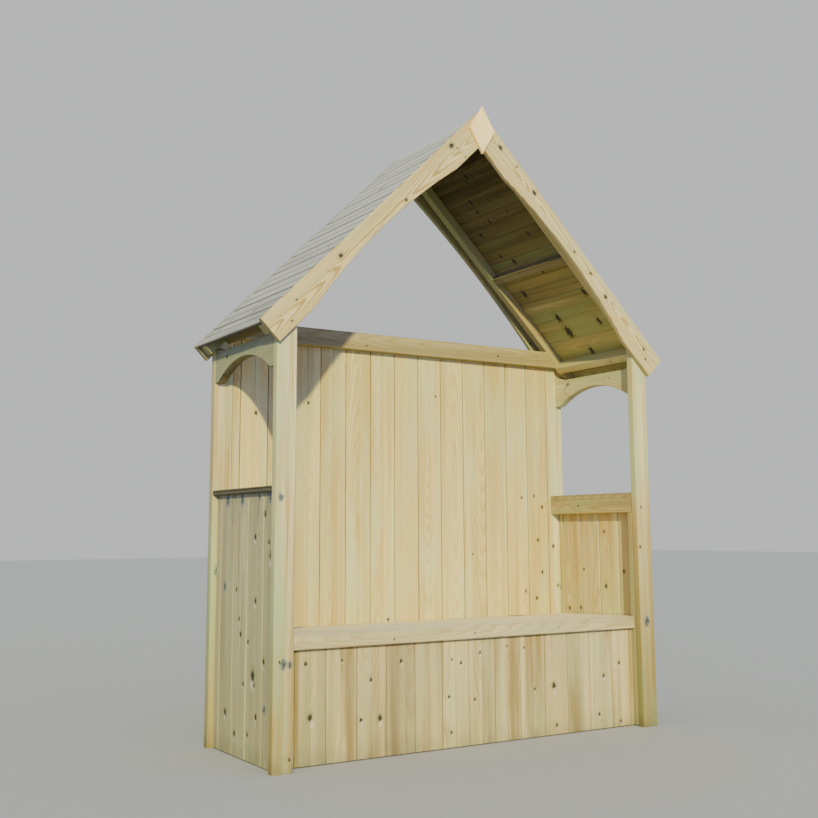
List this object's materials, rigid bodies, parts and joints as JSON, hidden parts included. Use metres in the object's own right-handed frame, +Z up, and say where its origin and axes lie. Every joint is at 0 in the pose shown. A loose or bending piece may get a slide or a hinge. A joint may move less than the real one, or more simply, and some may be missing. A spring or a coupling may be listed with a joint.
{
  "type": "garden storage arbour",
  "caption": "Timber garden arbour seat with a steep gable roof, boarded back and sides, arched side boards and a full-width seat that lifts as the lid of a storage box.",
  "frame": {"origin": "on the ground, under the middle of the arbour's overall box", "axes": "+X to the right along the front, +Y from the open front to the back, +Z up"},
  "size_m": [1.7932, 0.632, 2.3527],
  "materials": {
    "post_timber": "rough-sawn pressure-treated pine, pale honey with a green tint",
    "rafter_timber": "rough-sawn pressure-treated pine in the roof's shade",
    "barge_timber": "planed pressure-treated pine with strong grain, honey",
    "arch_timber": "planed pressure-treated pine",
    "roof_boards": "matchboards weathered grey above, olive brown below",
    "rail_timber": "rough-sawn pressure-treated pine",
    "panel_boards": "matchboards with a v joint, pale yellow green",
    "side_boards": "matchboards with a v joint, weathered olive grey outside",
    "arm_timber": "planed pine, greyed on its outer edge",
    "seat_boards": "planed pine boards, slightly greyed",
    "floor_boards": "sawn pine",
    "hinge_metal": "zinc-plated steel, dull"
  },
  "bodies": {
    "frame": {"apex_plate": "barge_timber", "arch_left": "arch_timber", "arch_right": "arch_timber", "arm_cap_left": "arm_timber", "arm_cap_right": "arm_timber", "arm_rail_left": "arm_timber", "arm_rail_right": "arm_timber", "back_panel": "panel_boards", "back_top_rail": "rail_timber", "barge_front_left": "barge_timber", "barge_front_right": "barge_timber", "barge_rear_left": "barge_timber", "barge_rear_right": "barge_timber", "corner_batten_left": "rail_timber", "corner_batten_right": "rail_timber", "eave_rail_left": "rail_timber", "eave_rail_right": "rail_timber", "floor_bearer_front": "floor_boards", "floor_bearer_rear": "floor_boards", "front_panel": "panel_boards", "hinge_fixed_left": "hinge_metal", "hinge_fixed_right": "hinge_metal", "mid_rail_left": "rail_timber", "mid_rail_right": "rail_timber", "post_front_left": "post_timber", "post_front_right": "post_timber", "post_rear_left": "post_timber", "post_rear_right": "post_timber", "rafter_front_left": "rafter_timber", "rafter_front_right": "rafter_timber", "rafter_rear_left": "rafter_timber", "rafter_rear_right": "rafter_timber", "roof_left": "roof_boards", "roof_right": "roof_boards", "seat_rear_rail": "seat_boards", "side_panel_left": "side_boards", "side_panel_right": "side_boards", "storage_floor": "floor_boards"},
    "seat_lid": {"hinge_lid_left": "hinge_metal", "hinge_lid_right": "hinge_metal", "seat_batten_left": "seat_boards", "seat_batten_right": "seat_boards", "seat_boards": "seat_boards", "seat_front_rail": "seat_boards"}
  },
  "joints": [
    {"name": "seat_lid_hinge", "type": "hinge", "parent": "frame", "child": "seat_lid", "pos_m": [0, 0.2118, 0.40379], "axis": [-1, 0, 0], "range_deg": [0, 92]}
  ]
}
